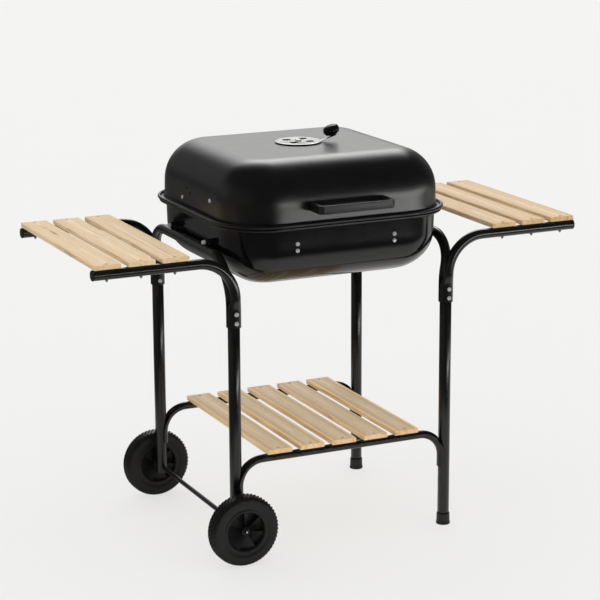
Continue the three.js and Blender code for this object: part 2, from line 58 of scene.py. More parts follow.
# ------------------------------------------------------------------------------------------------
# Camera: a long lens a little above the tables, to the left of the front.
azimuth, elevation = math.radians(-25.149), math.radians(13.970)
target = Vector((0.0023, DEPTH_MIDDLE, 0.4777))
distance = 4.5077
back = Vector((math.sin(azimuth) * math.cos(elevation), -math.cos(azimuth) * math.cos(elevation),
               math.sin(elevation)))
camera = bpy.data.objects.new("camera", bpy.data.cameras.new("camera"))
camera.data.lens = 125.66
camera.data.sensor_width = 36
camera.data.clip_end = 60
camera.location = target + back * distance
camera.rotation_mode = "QUATERNION"
camera.rotation_quaternion = (-back).to_track_quat("-Z", "Y") @ Quaternion((0, 0, 1), math.radians(-0.293))
bpy.context.collection.objects.link(camera)
bpy.context.scene.camera = camera


# ------------------------------------------------------------------------------------------------
# Floor and studio: a pale paper floor that runs out of sight under an even white sky. What is shiny
# mirrors a dark room instead: a soft box above and behind the grill, a pale wall behind it, a dim one
# at the left, and a floor with painted shade in front, at the left and at the back, and a painted glow
# at the front right, which show only in reflections.
class Wire:
    """An output in a node tree. Arithmetic on it adds Math nodes."""

    def __init__(self, nodes, socket):
        self.nodes, self.socket = nodes, socket

    def math(self, operation, *values):
        return self.nodes.node("ShaderNodeMath", {"operation": operation}, dict(enumerate(values)))

    def __add__(self, other):
        return self.math("ADD", self, other)

    def __radd__(self, other):
        return self.math("ADD", other, self)

    def __sub__(self, other):
        return self.math("SUBTRACT", self, other)

    def __rsub__(self, other):
        return self.math("SUBTRACT", other, self)

    def __mul__(self, other):
        return self.math("MULTIPLY", self, other)

    def __rmul__(self, other):
        return self.math("MULTIPLY", other, self)

    def size(self):
        return self.math("ABSOLUTE", self)

    def above(self, other):
        return self.math("GREATER_THAN", self, other)


class Nodes:
    """A node tree: node() adds one node and gives its output."""

    def __init__(self, tree):
        self.tree = tree

    def node(self, kind, settings=None, inputs=None, output=0):
        made = self.tree.nodes.new(kind)
        for name, value in (settings or {}).items():
            if name == "stops":
                elements = made.color_ramp.elements
                while len(elements) < len(value):
                    elements.new(0.5)
                for element, (position, colour) in zip(elements, value):
                    element.position = position
                    element.color = (*colour, 1)
            else:
                setattr(made, name, value)
        for name, value in (inputs or {}).items():
            self.plug(made.inputs[name], value)
        return Wire(self, made.outputs[output])

    def plug(self, socket, value):
        if isinstance(value, Wire):
            self.tree.links.new(value.socket, socket)
        else:
            socket.default_value = value

    def fade(self, value, start, end):
        """0 before start and 1 after end, eased between them. start may be the greater."""
        return self.node("ShaderNodeMapRange", {"interpolation_type": "SMOOTHSTEP"},
                         {"Value": value, "From Min": start, "From Max": end})

    def ramp(self, value, *stops):
        return self.node("ShaderNodeValToRGB", {"stops": stops}, {"Fac": value}, output="Color")

    def blend(self, mask, one, two):
        """Colour one where the mask is 0, and two where it is 1."""
        return self.node("ShaderNodeMix", {"data_type": "RGBA"}, {0: mask, 6: one, 7: two}, output=2)

    def split(self, vector):
        return [self.node("ShaderNodeSeparateXYZ", None, {0: vector}, output=axis) for axis in "XYZ"]

    def ray(self, kind):
        return self.node("ShaderNodeLightPath", output=f"Is {kind} Ray")

    def vector(self, operation, *values):
        return self.node("ShaderNodeVectorMath", {"operation": operation}, dict(enumerate(values)))

    def join(self, x, y, z):
        return self.node("ShaderNodeCombineXYZ", None, {0: x, 1: y, 2: z})


class Finish(Nodes):
    """A material. Fixed numbers are set on the shader's sockets, and feed() links what varies."""

    def __init__(self, name, colour, **fixed):
        self.material = bpy.data.materials.new(name)
        self.material.use_nodes = True
        super().__init__(self.material.node_tree)
        self.shader = self.tree.nodes["Principled BSDF"]
        self.shader.inputs["Base Color"].default_value = (*colour, 1)
        for socket, value in fixed.items():
            self.shader.inputs[socket.replace("_", " ")].default_value = value
        self.material.diffuse_color = (*colour, 1)

    def feed(self, **sockets):
        for name, value in sockets.items():
            self.plug(self.shader.inputs[name.replace("_", " ")], value)

    def place(self, scale=(1, 1, 1), shift=(0, 0, 0)):
        """Metres in the frame, scaled and then shifted."""
        here = self.node("ShaderNodeTexCoord", output="Object")
        return self.vector("ADD", self.vector("MULTIPLY", here, scale), shift)

    def noise(self, per_metre, detail=2.0, rough=0.5, place=None):
        return self.node("ShaderNodeTexNoise", None,
                         {"Vector": place or self.place(), "Scale": per_metre, "Detail": detail,
                          "Roughness": rough}, output="Fac")

    def bump(self, height, depth, strength):
        return self.node("ShaderNodeBump", None, {"Height": height, "Distance": depth, "Strength": strength})

    def wear(self, noise, dark, light, rough, spread, depth):
        """One noise mottles the colour, the roughness and the surface."""
        self.feed(
            Base_Color=self.ramp(noise, (0.3, dark), (0.7, light)),
            Roughness=rough + spread * noise,
            Normal=self.bump(noise, depth, 0.5))


paper = Finish("floor_paper", (0.86, 0.86, 0.85), Roughness=0.9)
across, along, _ = paper.split(paper.place())
shiny_ray = paper.ray("Glossy")
# Painted shade: in front of the grill the paper turns near black, but only in reflections.
painted_shade_in_front = shiny_ray * paper.fade(along, -0.7, -1.2)
shade = shiny_ray * (1 - (1 - paper.fade(across, -0.3, -0.9)) * (1 - paper.fade(along, 0.6, 1.3)))
# Painted reflection: a far patch of paper at the front right glows, but only in reflections.
painted_reflection_glow = shiny_ray * paper.fade(along, -2.9, -3.5) * paper.fade(across, 1.55, 2.05)
seen = paper.ray("Camera")
mirrored = paper.blend(shade, (0.86, 0.86, 0.85, 1), (0.12, 0.12, 0.12, 1))
mirrored = paper.blend(painted_shade_in_front, mirrored, (0.06, 0.06, 0.06, 1))
paper.shader.inputs["Emission Color"].default_value = (1.0, 0.998, 0.985, 1)
paper.feed(
    Base_Color=paper.blend(seen, mirrored, (0.2, 0.2, 0.2, 1)),
    Emission_Strength=9.0 * painted_reflection_glow + 0.66 * seen,
    Roughness=0.86 + 0.08 * paper.noise(3))
floor_mesh = bpy.data.meshes.new("floor")
FLOOR_REACH, FLOOR_STEPS = 26, 64
floor_mesh.from_pydata(
    [(FLOOR_REACH * math.cos(TAU * i / FLOOR_STEPS), FLOOR_REACH * math.sin(TAU * i / FLOOR_STEPS), 0)
     for i in range(FLOOR_STEPS)], [], [list(range(FLOOR_STEPS))])
floor_mesh.materials.append(paper.material)
floor = bpy.data.objects.new("floor", floor_mesh)
bpy.context.collection.objects.link(floor)

studio = bpy.data.worlds.new("studio")
studio.use_nodes = True
sky = Nodes(studio.node_tree)
direction = sky.node("ShaderNodeTexCoord", output="Generated")
east, north, up = sky.split(direction)
even = 1.0 + 0.1 * up * up
between = sky.fade(east, -0.12, 0.34) * sky.fade(east, 0.64, 0.47)
soft_light = sky.fade(up, 0.36, 0.5) * sky.fade(up, 0.84, 0.7) * sky.fade(north, 0.1, 0.35) * between
far_wall = (sky.fade(north, 0.2, 0.6) * sky.fade(up, 0.6, 0.3) * sky.fade(up, 0.0, 0.14)
            * (0.15 + 0.85 * between))
left_wall = sky.fade(east, -0.5, -0.9) * sky.fade(up, 0.8, 0.2)
room = 0.04 + 5.5 * soft_light + 1.25 * far_wall + 0.15 * left_wall
# The sky that the camera itself sees is brought down to the paper's tone.
SEEN_DARKER = 0.107
shiny = sky.ray("Glossy")
sky.plug(studio.node_tree.nodes["Background"].inputs["Color"], (1.0, 0.998, 0.99, 1))
seen = sky.ray("Camera")
sky.plug(studio.node_tree.nodes["Background"].inputs["Strength"],
         shiny * room + (1 - shiny) * (even - SEEN_DARKER * seen))
bpy.context.scene.world = studio
bpy.context.scene.view_settings.view_transform = "Standard"


# ------------------------------------------------------------------------------------------------
# Stand: four straight legs of 25 mm steel tube, four table arms and two cradles of 21 mm tube, and
# two shelf rails of 17 mm tube. The bent tubes' ends are pressed into double half shells that clamp
# the legs. Everything is powder coated in gloss black.
frame_paint = Finish("gloss_frame_paint", (0.004, 0.004, 0.004), Roughness=0.2)
peel = frame_paint.noise(650, 2)
rub = frame_paint.noise(38, 4, 0.65)
frame_paint.feed(
    Base_Color=frame_paint.ramp(rub, (0.3, (0.0025, 0.0025, 0.0025)), (0.75, (0.006, 0.0058, 0.0055))),
    Roughness=0.13 + 0.14 * rub,
    Normal=frame_paint.bump(peel, 0.00012, 0.35))


def piece(name, body, slot, finish, verts, faces, stands_for=(), sharp=40, bevel=0, bevel_steps=2):
    """A mesh in the frame, shaded smooth between its sharp edges, that rides on a body."""
    mesh = bpy.data.meshes.new(name)
    shape = bmesh.new()
    corners = [shape.verts.new(v) for v in verts]
    for face in faces:
        ring = []
        for k in face:
            if corners[k] not in ring:
                ring.append(corners[k])
        if len(ring) > 2:
            shape.faces.new(ring)
    bmesh.ops.remove_doubles(shape, verts=shape.verts, dist=1e-6)
    bmesh.ops.dissolve_degenerate(shape, edges=shape.edges, dist=1e-7)
    bmesh.ops.recalc_face_normals(shape, faces=shape.faces)
    if bevel:
        hard = [edge for edge in shape.edges
                if len(edge.link_faces) == 2 and edge.calc_face_angle() > math.radians(sharp)]
        bmesh.ops.bevel(shape, geom=hard, offset=bevel, segments=bevel_steps, profile=0.5, affect="EDGES",
                        clamp_overlap=True)
    shape.to_mesh(mesh)
    shape.free()
    mesh.materials.append(finish.material)
    mesh.shade_smooth()
    mesh.set_sharp_from_angle(angle=math.radians(sharp))
    made = bpy.data.objects.new(name, mesh)
    bpy.context.collection.objects.link(made)
    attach(made, body)
    if stands_for:
        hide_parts(*stands_for)
    return made


def loft(rings, looped=False, capped=True):
    """A skin through rings of equal point counts, as (verts, faces)."""
    count = len(rings[0])
    verts = [p for ring in rings for p in ring]
    faces = []
    for i in range(len(rings) if looped else len(rings) - 1):
        a, b = i * count, (i + 1) % len(rings) * count
        for k in range(count):
            n = (k + 1) % count
            faces.append((a + k, a + n, b + n, b + k))
    if capped and not looped:
        faces.append(tuple(range(count)))
        faces.append(tuple(range(len(verts) - count, len(verts))))
    return verts, faces


def merged(*parts):
    """Several (verts, faces) as one."""
    verts, faces = [], []
    for more_verts, more_faces in parts:
        base = len(verts)
        verts += [Vector(v) for v in more_verts]
        faces += [tuple(base + k for k in face) for face in more_faces]
    return verts, faces


def turned(profile, steps=48, at=(0, 0, 0), axis=Z, closed=False):
    """A profile of (radius, height) in millimetres, turned round an axis."""
    turn = Z.rotation_difference(Vector(axis))
    rings = []
    for radius, height in profile:
        ring = []
        for k in range(steps):
            angle = TAU * k / steps
            spot = Vector((radius * math.cos(angle), radius * math.sin(angle), height)) * MM
            ring.append(turn @ spot + Vector(at))
        rings.append(ring)
    return loft(rings, looped=closed, capped=False)


def smooth(x):
    x = min(1, max(0, x))
    return x * x * (3 - 2 * x)


TUBE_SIDES = 36
SHELL_INSIDE, SHELL_THICK, SHELL_SPREAD = 13.2 * MM, 2.1 * MM, 1.42
BEND_STEPS = 18


def tube_ring(place, u, v, radius, pressed, offset):
    """One ring of a tube: round at 0 and, at 1, a half shell round a leg "offset" away along v."""
    half = TUBE_SIDES // 2
    ring = []
    for k in range(TUBE_SIDES):
        angle = TAU * (k + 0.5) / TUBE_SIDES
        near = k < half
        step = 2 * (k % half) / (half - 1) - 1
        sweep = SHELL_SPREAD * (-step if near else step)
        reach = SHELL_INSIDE + (0 if near else SHELL_THICK)
        across = (1 - pressed) * radius * math.cos(angle) + pressed * reach * math.sin(sweep)
        towards = (1 - pressed) * radius * math.sin(angle) + pressed * (offset - reach * math.cos(sweep))
        ring.append(place + u * across + v * towards)
    return ring


def bent_tube(name, stations, radius, offset):
    rings = [tube_ring(place, u, v, radius, pressed, offset) for place, u, v, pressed in stations]
    return piece(name + "_tube", "stand", "frame_paint", frame_paint, *loft(rings), [name], sharp=50)


SHELL_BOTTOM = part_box("table_arm_front_left")[0][2]
SHELL_TOP = SHELL_BOTTOM + 36 * MM
ROUND_AT = SHELL_TOP + 26 * MM
ARM_RADIUS, ARM_BEND, TUBE_GAP = 10.5 * MM, 80 * MM, 0.3 * MM
UPRIGHT = [SHELL_BOTTOM, SHELL_TOP - 2 * MM] + [SHELL_TOP + (ROUND_AT - SHELL_TOP) * i / 9 for i in range(10)]


def pressing(z):
    return 1 - smooth((z - SHELL_TOP) / (ROUND_AT - SHELL_TOP))


def table_arm(name, leg, side_x, side_y):
    offset = ARM_RADIUS + TUBE_GAP
    low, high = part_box(name)
    bar_z = high[2] - ARM_RADIUS * math.cos(math.pi / 12)
    end_x = low[0] if side_x < 0 else high[0]
    y = leg.y + side_y * offset
    towards = Vector((0, -side_y, 0))
    stations = [(Vector((leg.x, y, z)), X, towards, pressing(z)) for z in UPRIGHT if z < bar_z - ARM_BEND]
    for i in range(BEND_STEPS + 1):
        angle = i / BEND_STEPS * math.pi / 2
        place = Vector((leg.x + side_x * ARM_BEND * (1 - math.cos(angle)), y,
                        bar_z - ARM_BEND + ARM_BEND * math.sin(angle)))
        u = Vector((math.cos(angle), 0, -side_x * math.sin(angle)))
        stations.append((place, u, towards, pressing(place.z)))
    stations.append((Vector((end_x, y, bar_z)), Vector((0, 0, -side_x)), towards, 0))
    return bent_tube(name, stations, ARM_RADIUS, offset)


def arch(name, radius, offset, leg_run, bar_z, bend, uprights, pressed_at, place_at, u, v_at):
    """An upside-down U. place_at gives the point for a run along it and a height, and v_at the
    direction towards the leg for the angle that the tube has turned through."""
    half = [(leg_run, z, 0, pressed_at(z, 0)) for z in uprights]
    for i in range(1, BEND_STEPS + 1):
        angle = i / BEND_STEPS * math.pi / 2
        z = bar_z - bend + bend * math.sin(angle)
        half.append((leg_run - bend * (1 - math.cos(angle)), z, angle, pressed_at(z, angle)))
    stations = [(place_at(-run, z), u, v_at(angle), pressed) for run, z, angle, pressed in half]
    stations += [(place_at(run, z), u, v_at(math.pi - angle), pressed)
                 for run, z, angle, pressed in reversed(half)]
    return bent_tube(name, stations, radius, offset)


CRADLE_RADIUS, CRADLE_BEND = 10.5 * MM, 62 * MM
RAIL_RADIUS, RAIL_BEND = 8.5 * MM, 53.5 * MM
RAIL_PRESSED_TO = 0.75


def bowl_cradle(name, leg, side_x):
    low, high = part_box(name)
    offset = CRADLE_RADIUS + TUBE_GAP
    bar_z = high[2] - CRADLE_RADIUS * math.cos(math.pi / 12)
    bar_x = (low[0] + CRADLE_RADIUS) if side_x < 0 else (high[0] - CRADLE_RADIUS)
    leg_run = DEPTH_MIDDLE - leg.y - offset

    def place_at(run, z):
        lean = smooth((z - SHELL_TOP) / (bar_z - 10 * MM - SHELL_TOP))
        return Vector((leg.x + (bar_x - leg.x) * lean, DEPTH_MIDDLE + run, z))

    def v_at(angle):
        return Vector((0, -math.cos(angle), math.sin(angle)))

    uprights = [z for z in UPRIGHT if z < bar_z - CRADLE_BEND - 1 * MM] + [bar_z - CRADLE_BEND]
    return arch(name, CRADLE_RADIUS, offset, leg_run, bar_z, CRADLE_BEND, uprights,
                lambda z, angle: pressing(z), place_at, X, v_at)


def shelf_rail(name, leg_y):
    low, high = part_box(name)
    offset = SHELL_INSIDE + SHELL_THICK - RAIL_RADIUS
    bar_z = high[2] - RAIL_RADIUS * math.cos(math.pi / 12)
    leg_run = abs(middle("leg_front_right").x) - offset
    foot_z = low[2]

    def place_at(run, z):
        return Vector((run, leg_y, z))

    def v_at(angle):
        return Vector((-math.cos(angle), 0, math.sin(angle)))

    uprights = [foot_z, bar_z - RAIL_BEND]
    return arch(name, RAIL_RADIUS, offset, leg_run, bar_z, RAIL_BEND, uprights,
                lambda z, angle: max(0, 1 - (angle / RAIL_PRESSED_TO) ** 2), place_at, Y, v_at)


ROWS, SIDES = (("front", -1), ("back", 1)), (("left", -1), ("right", 1))
LEG_RADIUS, LEG_WALL = 12.5, 1.2
for row, side_y in ROWS:
    for side, side_x in SIDES:
        name = f"leg_{row}_{side}"
        low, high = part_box(name)
        leg = middle(name)
        length = (high[2] - low[2]) / MM
        edge = 0.4
        wall = [(LEG_RADIUS - edge, 0), (LEG_RADIUS, edge), (LEG_RADIUS, length - edge),
                (LEG_RADIUS - edge, length), (LEG_RADIUS - LEG_WALL, length), (LEG_RADIUS - LEG_WALL, 0)]
        piece(f"{name}_tube", "stand", "frame_paint", frame_paint,
              *turned(wall, TUBE_SIDES, (leg.x, leg.y, low[2]), closed=True), [name], sharp=50)
        table_arm(f"table_arm_{row}_{side}", leg, side_x, side_y)
    shelf_rail(f"shelf_rail_{row}", middle(f"leg_{row}_left").y)
for side, side_x in SIDES:
    bowl_cradle(f"bowl_cradle_{side}", middle(f"leg_front_{side}"), side_x)

# ------------------------------------------------------------------------------------------------
# Leg-top screws: two zinc-plated machine screws run from front to back through both half shells and
# the leg, with a cross recess in the domed head and a nut on the far side.
zinc = Finish("zinc_plate", (0.7, 0.7, 0.69), Roughness=0.3, Metallic=0.6)
spangle = zinc.noise(900, 3)
zinc.feed(
    Base_Color=zinc.ramp(zinc.noise(220, 3), (0.3, (0.62, 0.62, 0.61)), (0.7, (0.8, 0.795, 0.78))),
    Roughness=0.28 + 0.14 * spangle,
    Normal=zinc.bump(spangle, 0.00005, 0.5))


def screw_head(radius, height, at, axis, recess=True):
    """A domed head with a cross recess, standing on "at" and pointing along the axis. Millimetres."""
    steps, rings = 32, 9
    turn = Z.rotation_difference(Vector(axis))
    levels = []
    for i in range(rings):
        share = 1 - i / rings
        ring = []
        for k in range(steps):
            angle = TAU * k / steps
            x, y = radius * share * math.cos(angle), radius * share * math.sin(angle)
            z = height * math.sqrt(max(0, 1 - share ** 2.6))
            in_cross = min(abs(x), abs(y)) < radius * 0.13 and share < 0.56
            if recess and in_cross:
                z -= height * 0.55
            ring.append(turn @ (Vector((x, y, z)) * MM) + Vector(at))
        levels.append(ring)
    top = turn @ (Vector((0, 0, height * (0.45 if recess else 1))) * MM) + Vector(at)
    levels.append([top] * steps)
    base = [turn @ (Vector((radius * math.cos(TAU * k / steps), radius * math.sin(TAU * k / steps), 0)) * MM)
            + Vector(at) for k in range(steps)]
    return loft([base] + levels, capped=False)


def hexagon(across, thick, at, axis):
    """A hexagonal nut with a turned-off corner on its outer face. Millimetres."""
    corner = across / math.sqrt(3)
    profile = [(0, 0), (corner, 0), (corner, thick * 0.7), (corner * 0.9, thick), (0, thick)]
    return turned(profile, 6, at, axis)


def shank(radius, length, at, axis):
    """A threaded shank: a turned zigzag with a blunt point. Millimetres."""
    pitch = 0.9
    profile = [(0, 0)]
    for i in range(int(length / pitch)):
        profile += [(radius, i * pitch + 0.1), (radius * 0.84, i * pitch + pitch / 2)]
    profile += [(radius * 0.7, length), (0, length)]
    return turned(profile, 20, at, axis)


shell_reach = (SHELL_INSIDE + SHELL_THICK) / MM
for row in ("front", "back"):
    for side in ("left", "right"):
        leg = middle(f"leg_{row}_{side}")
        for number, up in ((1, 10), (2, 29)):
            front = Vector((leg.x, leg.y - shell_reach * MM, SHELL_BOTTOM + up * MM))
            rear = Vector((leg.x, leg.y + shell_reach * MM, front.z))
            piece(f"leg_screw_{row}_{side}_{number}", "stand", "zinc_steel", zinc,
                  *merged(screw_head(4.6, 3.0, front, -Y), hexagon(8, 3.4, rear, Y),
                          shank(2.4, 5, rear, Y)), sharp=32)

# ------------------------------------------------------------------------------------------------
# Plugs and caps: black moulded plastic. A domed plug closes each table arm's outer end, and a
# flared cap is pushed on the lower end of each right leg.
moulded = Finish("moulded_plastic", (0.02, 0.02, 0.021), Roughness=0.42)
grain = moulded.noise(2600, 2)
moulded.feed(
    Base_Color=moulded.ramp(moulded.noise(60, 3), (0.3, (0.005, 0.005, 0.005)), (0.7, (0.009, 0.009, 0.009))),
    Roughness=0.36 + 0.16 * grain,
    Normal=moulded.bump(grain, 0.00006, 0.5))

for row in ("front", "back"):
    for side, side_x in SIDES:
        name = f"arm_plug_{row}_{side}"
        low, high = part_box(name)
        spot = middle(name)
        inner_x = high[0] if side_x < 0 else low[0]
        stem, head = 14, 4
        dome = [(0, 0), (8.6, 0), (8.6, stem), (11, stem), (11, stem + 1.4), (10.4, stem + 2.6),
                (8.6, stem + 3.5), (5, stem + head - 0.1), (0, stem + head)]
        piece(f"{name}_cap", "stand", "black_plastic", moulded,
              *turned(dome, 40, (inner_x, spot.y, spot.z), X * side_x), [name])
    name = f"foot_cap_{row}"
    spot = middle(name)
    cap = [(0, 0), (13.6, 0), (14.9, 0.7), (15.2, 2), (15.2, 4.5), (14.6, 5.6), (14.3, 8), (14, 22),
           (13.9, 24.2), (13.4, 25), (12.9, 25), (12.9, 3), (0, 3)]
    piece(f"{name}_moulding", "stand", "black_plastic", moulded,
          *turned(cap, 48, (spot.x, spot.y, 0)), [name])

# ------------------------------------------------------------------------------------------------
# Wheels: one black moulding each, with a lugged tread, smooth side walls and a sunk hub whose seven
# slanting blades run from the boss to the rim. They turn on a 10 mm black rod, held by push nuts.
wheel_black = Finish("wheel_moulding", (0.006, 0.006, 0.006), Roughness=0.4, Specular_IOR_Level=0.36)
scuff = wheel_black.noise(90, 4, 0.6)
wheel_grain = wheel_black.noise(1500, 2)
wheel_black.feed(
    Base_Color=wheel_black.ramp(scuff, (0.3, (0.004, 0.004, 0.004)), (0.75, (0.0075, 0.0074, 0.0072))),
    Roughness=0.34 + 0.2 * scuff,
    Normal=wheel_black.bump(wheel_grain, 0.00008, 0.4))

WHEEL_R, WHEEL_HALF = 75.0, 17.5
LUG_HEIGHT = 2.0
TREAD_R = WHEEL_R - LUG_HEIGHT
SHOULDER = 9.0
LUGS = 54


def tyre_point(run, lift=0.0):
    """(radius, height) on the tyre's outside. run is 0 on the tread's middle line, and goes up
    round the shoulder to the side wall. Millimetres."""
    sign = -1 if run < 0 else 1
    along = abs(run)
    flat = WHEEL_HALF - SHOULDER
    if along < flat:
        return TREAD_R + lift, sign * along
    angle = min((along - flat) / SHOULDER, math.pi / 2)
    return (TREAD_R - SHOULDER + (SHOULDER + lift) * math.cos(angle),
            sign * (flat + (SHOULDER + lift) * math.sin(angle)))


def lug(angle, from_run, to_run, slant, width, rise=LUG_HEIGHT):
    """A raised block that follows the tyre's outside, leaning round it by "slant" radians."""
    steps = 3
    rings = []
    for i in range(steps + 1):
        share = i / steps
        lifted = rise * (1 if 0 < i < steps else 0.72)
        ring = []
        for side, lift in ((-0.5, -0.5), (-0.38, lifted), (0.38, lifted), (0.5, -0.5)):
            radius, height = tyre_point(from_run + (to_run - from_run) * share, lift)
            turn = angle + slant * (share - 0.5) + side * width / TREAD_R
            ring.append(Vector((radius * math.cos(turn), radius * math.sin(turn), height)) * MM)
        rings.append(ring)
    return loft(rings)


HUB_R, WEB_HALF, BOSS_R = 41.0, 1.5, 9.0
BLADES, BLADE_SHARE = 7, 0.84


def hub_blade(number, sign):
    """One fan blade on one face of the web: low at its first edge and high at its last."""
    rings = []
    for i in range(9):
        share = i / 8
        angle = TAU * (number + BLADE_SHARE * share) / BLADES * sign
        rise = 3.0 + 10.5 * share ** 1.2
        section = [(BOSS_R - 1, rise * 0.9), (20, rise * 0.95), (32, rise), (HUB_R + 1, rise)]
        section += [(radius, WEB_HALF - 0.6) for radius, _ in reversed(section)]
        rings.append([Vector((radius * math.cos(angle), radius * math.sin(angle), sign * height)) * MM
                      for radius, height in section])
    return loft(rings)


def wheel_shape():
    boss = [(5.4, 14), (7.8, 14), (8.7, 13.4), (BOSS_R, 12.4), (BOSS_R, WEB_HALF)]
    wall = [(HUB_R - 1.5, WEB_HALF), (HUB_R - 0.6, 8), (HUB_R, 15), (HUB_R + 0.8, 16.4), (HUB_R + 2.4, 17),
            (HUB_R + 4.4, 17), (HUB_R + 5.4, 16.2), (HUB_R + 7, 15.9), (50, 16), (53, 16.6), (53.8, 17.1),
            (58, 17.3)]
    arc = [tyre_point(WHEEL_HALF - SHOULDER + SHOULDER * math.pi / 2 * (1 - i / 7)) for i in range(8)]
    half = boss + wall + arc
    profile = half + [(r, -h) for r, h in reversed(half)]
    parts = [turned(profile, 96, closed=True)]
    for i in range(LUGS):
        angle = TAU * i / LUGS
        parts.append(lug(angle + TAU / LUGS / 2, -2.6, 2.6, 0.035, 4.4))
        for sign in (-1, 1):
            parts.append(lug(angle, sign * 3.6, sign * 9.6, sign * 0.05, 4.6))
            parts.append(lug(angle + TAU / LUGS / 2, sign * 10.6, sign * 16.4, sign * 0.03, 4.8, 1.3))
            parts.append(lug(angle, sign * 17.2, sign * 20.6, sign * 0.02, 3.4, 0.7))
    parts += [hub_blade(number, sign) for number in range(BLADES) for sign in (-1, 1)]
    return merged(*parts)


wheel_verts, wheel_faces = wheel_shape()
lay_over = Z.rotation_difference(-Y)
black_rod = Finish("black_rod", (0.03, 0.03, 0.03), Roughness=0.35, Metallic=0.6)
rod_wear = black_rod.noise(160, 3)
black_rod.feed(
    Base_Color=black_rod.ramp(rod_wear, (0.35, (0.01, 0.01, 0.01)), (0.8, (0.03, 0.029, 0.028))),
    Roughness=0.26 + 0.2 * rod_wear,
    Normal=black_rod.bump(rod_wear, 0.00005, 0.4))
for row, side_y in ROWS:
    spot = middle(f"wheel_{row}")
    piece(f"wheel_{row}_moulding", f"{row}_wheel", "wheel_plastic", wheel_black,
          [lay_over @ v + spot for v in wheel_verts], wheel_faces, [f"wheel_{row}"], sharp=34)
    low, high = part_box(f"axle_nut_{row}")
    inner_y = low[1] if side_y > 0 else high[1]
    cap = [(5.3, 0), (7.2, 0), (7.6, 0.6), (7.4, 1.8), (6.4, 2.7), (5.3, 3)]
    piece(f"axle_nut_{row}_cap", "stand", "frame_paint", black_rod,
          *turned(cap, 40, (spot.x, inner_y, spot.z), Y * side_y, closed=True), [f"axle_nut_{row}"])
low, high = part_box("wheel_axle")
axle = middle("wheel_axle")
rod_length = (high[1] - low[1]) / MM
rod_profile = [(0, 0), (3.6, 0), (4.8, 1.1), (5, 1.8), (5, rod_length - 1.8), (4.8, rod_length - 1.1),
               (3.6, rod_length), (0, rod_length)]
piece("wheel_axle_rod", "stand", "frame_paint", black_rod,
      *turned(rod_profile, 32, (axle.x, low[1], axle.z), Y), ["wheel_axle"])
for row, side_y in ROWS:
    end_y = low[1] if side_y < 0 else high[1]
    piece(f"axle_end_{row}", "stand", "zinc_steel", zinc,
          *turned([(0, 0), (1.8, 0), (1.6, 0.35), (0, 0.5)], 24, (axle.x, end_y, axle.z), Y * side_y))

# ------------------------------------------------------------------------------------------------
# Slats: planed pale softwood, 10 mm thick with eased edges, three to a table and five on the shelf.
# One countersunk screw near each end holds it. The tables' screws come out under the tube.
timber = Finish("pale_softwood", (0.72, 0.52, 0.31), Roughness=0.55, Specular_IOR_Level=0.25)
board = timber.node("ShaderNodeAttribute", {"attribute_name": "board"}, output="Fac")
offset = timber.join(3.7 * board, 5.3 * board, 2.9 * board)


def grain_place(across, along):
    return timber.vector("ADD", timber.place((across, along, across)), offset)


drift = timber.noise(1, 2, 0.5, grain_place(9, 2.2))
wavy = timber.vector("ADD", grain_place(105, 3.4), timber.join(7.0 * drift, 0.0, 7.0 * drift))
rings = timber.noise(1, 3, 0.55, wavy)
fibres = timber.noise(1, 4, 0.7, grain_place(900, 14))
tone = timber.noise(1, 2, 0.5, grain_place(14, 1.2))
knots = timber.node("ShaderNodeTexVoronoi", None, {"Vector": grain_place(11, 3.1), "Scale": 1.0},
                    output="Distance")
knot = timber.fade(knots, 0.12, 0.03)
ground = timber.ramp(rings, (0.32, (0.48, 0.305, 0.15)), (0.44, (0.67, 0.49, 0.3)), (0.6, (0.76, 0.6, 0.41)))
shaded = timber.blend(timber.ramp(tone, (0.35, (0, 0, 0)), (0.75, (0.55, 0.55, 0.55))), ground,
                      (0.6, 0.415, 0.235, 1))
streaked = timber.blend(timber.ramp(fibres, (0.48, (0, 0, 0)), (0.66, (0.6, 0.6, 0.6))), shaded,
                        (0.4, 0.25, 0.125, 1))
knotted = timber.blend(0.75 * knot, streaked, (0.2, 0.1, 0.045, 1))
own_tone = timber.blend(board.math("FRACT", board), (1.05, 1.05, 1.06, 1), (0.96, 0.92, 0.86, 1))
# Boards are grouped by table: the left table's are made lighter and the right table's darker.
LEFT_BOARDS, RIGHT_BOARDS, SHELF_BOARDS = 0, 10, 20
group_tone_and_painted_light = timber.blend(board.above(RIGHT_BOARDS), (1.08, 1.11, 1.12, 1), (0.96, 0.95, 0.9, 1))
# Painted light: the shelf's boards are made lighter to make up for the shade the bowl casts on them.
group_tone_and_painted_light = timber.blend(board.above(SHELF_BOARDS), group_tone_and_painted_light, (1.28, 1.25, 1.14, 1))
tint = timber.vector("MULTIPLY", own_tone, group_tone_and_painted_light)
facing = timber.node("ShaderNodeSeparateXYZ", None,
                     {0: timber.node("ShaderNodeNewGeometry", output="Normal")}, output="Y")
end_grain = facing.size().above(0.8)
timber.feed(
    Base_Color=timber.vector("MULTIPLY", timber.blend(0.3 * end_grain, knotted, (0.66, 0.45, 0.25, 1)), tint),
    Roughness=0.46 + 0.2 * fibres,
    Normal=timber.bump(fibres + 0.6 * rings, 0.00025, 0.35))


def box_shape(low, high):
    (x0, y0, z0), (x1, y1, z1) = low, high
    ring0 = [Vector(p) for p in ((x0, y0, z0), (x1, y0, z0), (x1, y1, z0), (x0, y1, z0))]
    return loft([ring0, [p + Z * (z1 - z0) for p in ring0]])


